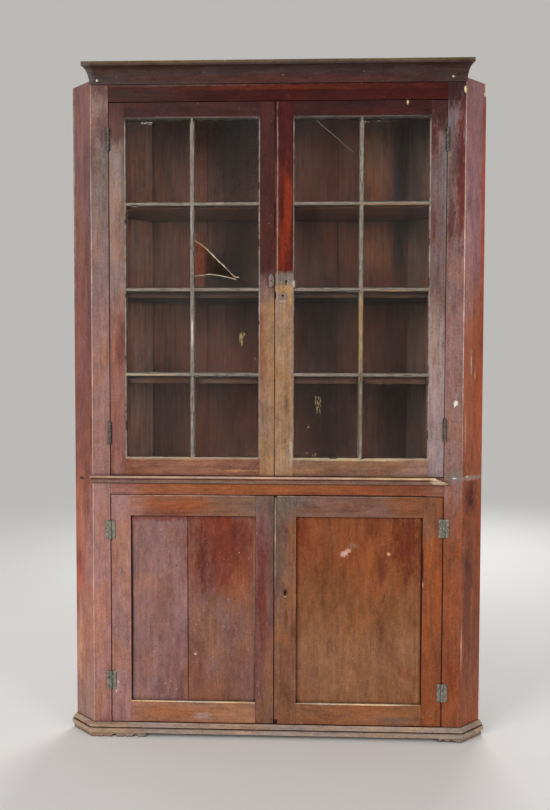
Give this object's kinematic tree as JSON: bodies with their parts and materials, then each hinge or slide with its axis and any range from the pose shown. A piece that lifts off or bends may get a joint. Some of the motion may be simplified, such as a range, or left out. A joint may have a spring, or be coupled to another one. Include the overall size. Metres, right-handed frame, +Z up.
{
  "type": "corner cupboard",
  "caption": "Corner cupboard in red-brown stained softwood, with canted ends, glazed upper doors, panelled lower doors, a cove cornice and shelves inside.",
  "frame": {"origin": "on the floor, under the middle of the overall box", "axes": "+Z up, -Y out of the front, +X to the right as seen from the front"},
  "size_m": [1.3082, 0.325, 2.071],
  "materials": {
    "case_wood": "worn red-brown stain on softwood, satin",
    "door_wood": "worn red-brown stain on softwood, rubbed to bare wood near the hands",
    "moulding_wood": "dark plum-brown stain with dusty top edges",
    "base_wood": "scuffed grey-brown stain",
    "board_wood": "dry dark brown boards",
    "glazing_bars": "pale grey-cream, matt",
    "window_glass": "clear window glass",
    "iron": "aged iron, grey-green",
    "bolt_brass": "dull brass, taken as usual because the bolt isn't seen"
  },
  "bodies": {
    "case": {"front_stile_left": "case_wood", "front_stile_right": "case_wood", "frieze_rail": "moulding_wood", "waist_rail": "case_wood", "return_left": "case_wood", "return_right": "case_wood", "side_board_left": "board_wood", "side_board_right": "board_wood", "rear_boards": "board_wood", "top_board": "board_wood", "upper_shelf_1": "board_wood", "upper_shelf_2": "board_wood", "upper_shelf_3": "board_wood", "waist_deck": "board_wood", "bottom_board": "board_wood", "cornice": "moulding_wood", "waist_moulding": "moulding_wood", "base_moulding": "base_wood", "upper_left_top_hinge_case_leaf": "iron", "upper_left_bottom_hinge_case_leaf": "iron", "lower_left_top_hinge_case_leaf": "iron", "lower_left_bottom_hinge_case_leaf": "iron", "upper_right_top_hinge_case_leaf": "iron", "upper_right_bottom_hinge_case_leaf": "iron", "lower_right_top_hinge_case_leaf": "iron", "lower_right_bottom_hinge_case_leaf": "iron"},
    "upper_left_door": {"upper_left_hinge_stile": "door_wood", "upper_left_meeting_stile": "door_wood", "upper_left_top_rail": "door_wood", "upper_left_bottom_rail": "door_wood", "upper_left_glazing_bars": "glazing_bars", "upper_left_glass": "window_glass", "upper_left_top_hinge_door_leaf": "iron", "upper_left_bottom_hinge_door_leaf": "iron"},
    "lower_left_door": {"lower_left_hinge_stile": "door_wood", "lower_left_meeting_stile": "door_wood", "lower_left_top_rail": "door_wood", "lower_left_bottom_rail": "door_wood", "lower_left_panel": "door_wood", "lower_left_top_hinge_door_leaf": "iron", "lower_left_bottom_hinge_door_leaf": "iron"},
    "upper_right_door": {"upper_right_hinge_stile": "door_wood", "upper_right_meeting_stile": "door_wood", "upper_right_top_rail": "door_wood", "upper_right_bottom_rail": "door_wood", "upper_right_glazing_bars": "glazing_bars", "upper_right_glass": "window_glass", "upper_right_top_hinge_door_leaf": "iron", "upper_right_bottom_hinge_door_leaf": "iron", "upper_lock_case": "iron"},
    "lower_right_door": {"lower_right_hinge_stile": "door_wood", "lower_right_meeting_stile": "door_wood", "lower_right_top_rail": "door_wood", "lower_right_bottom_rail": "door_wood", "lower_right_panel": "door_wood", "lower_right_top_hinge_door_leaf": "iron", "lower_right_bottom_hinge_door_leaf": "iron", "lower_lock_case": "iron"},
    "upper_lock_bolt": {"upper_lock_bolt": "bolt_brass"},
    "turn_button": {"turn_button": "door_wood"}
  },
  "joints": [
    {"name": "upper_left_door_hinge", "type": "hinge", "parent": "case", "child": "upper_left_door", "pos_m": [-0.514, -0.1248, 1.4005], "axis": [0, 0, -1], "range_deg": [0, 170]},
    {"name": "upper_right_door_hinge", "type": "hinge", "parent": "case", "child": "upper_right_door", "pos_m": [0.514, -0.1248, 1.4045], "axis": [0, 0, 1], "range_deg": [0, 170]},
    {"name": "lower_left_door_hinge", "type": "hinge", "parent": "case", "child": "lower_left_door", "pos_m": [-0.514, -0.1244, 0.4115], "axis": [0, 0, -1], "range_deg": [0, 170]},
    {"name": "lower_right_door_hinge", "type": "hinge", "parent": "case", "child": "lower_right_door", "pos_m": [0.514, -0.1244, 0.407], "axis": [0, 0, 1], "range_deg": [0, 170]},
    {"name": "turn_button_pivot", "type": "hinge", "parent": "upper_left_door", "child": "turn_button", "pos_m": [-0.016, -0.1248, 1.419], "axis": [0, -1, 0], "continuous": true},
    {"name": "upper_lock_bolt_slide", "type": "slide", "parent": "upper_right_door", "child": "upper_lock_bolt", "axis": [-1, 0, 0], "range_m": [0, 0.01]}
  ]
}
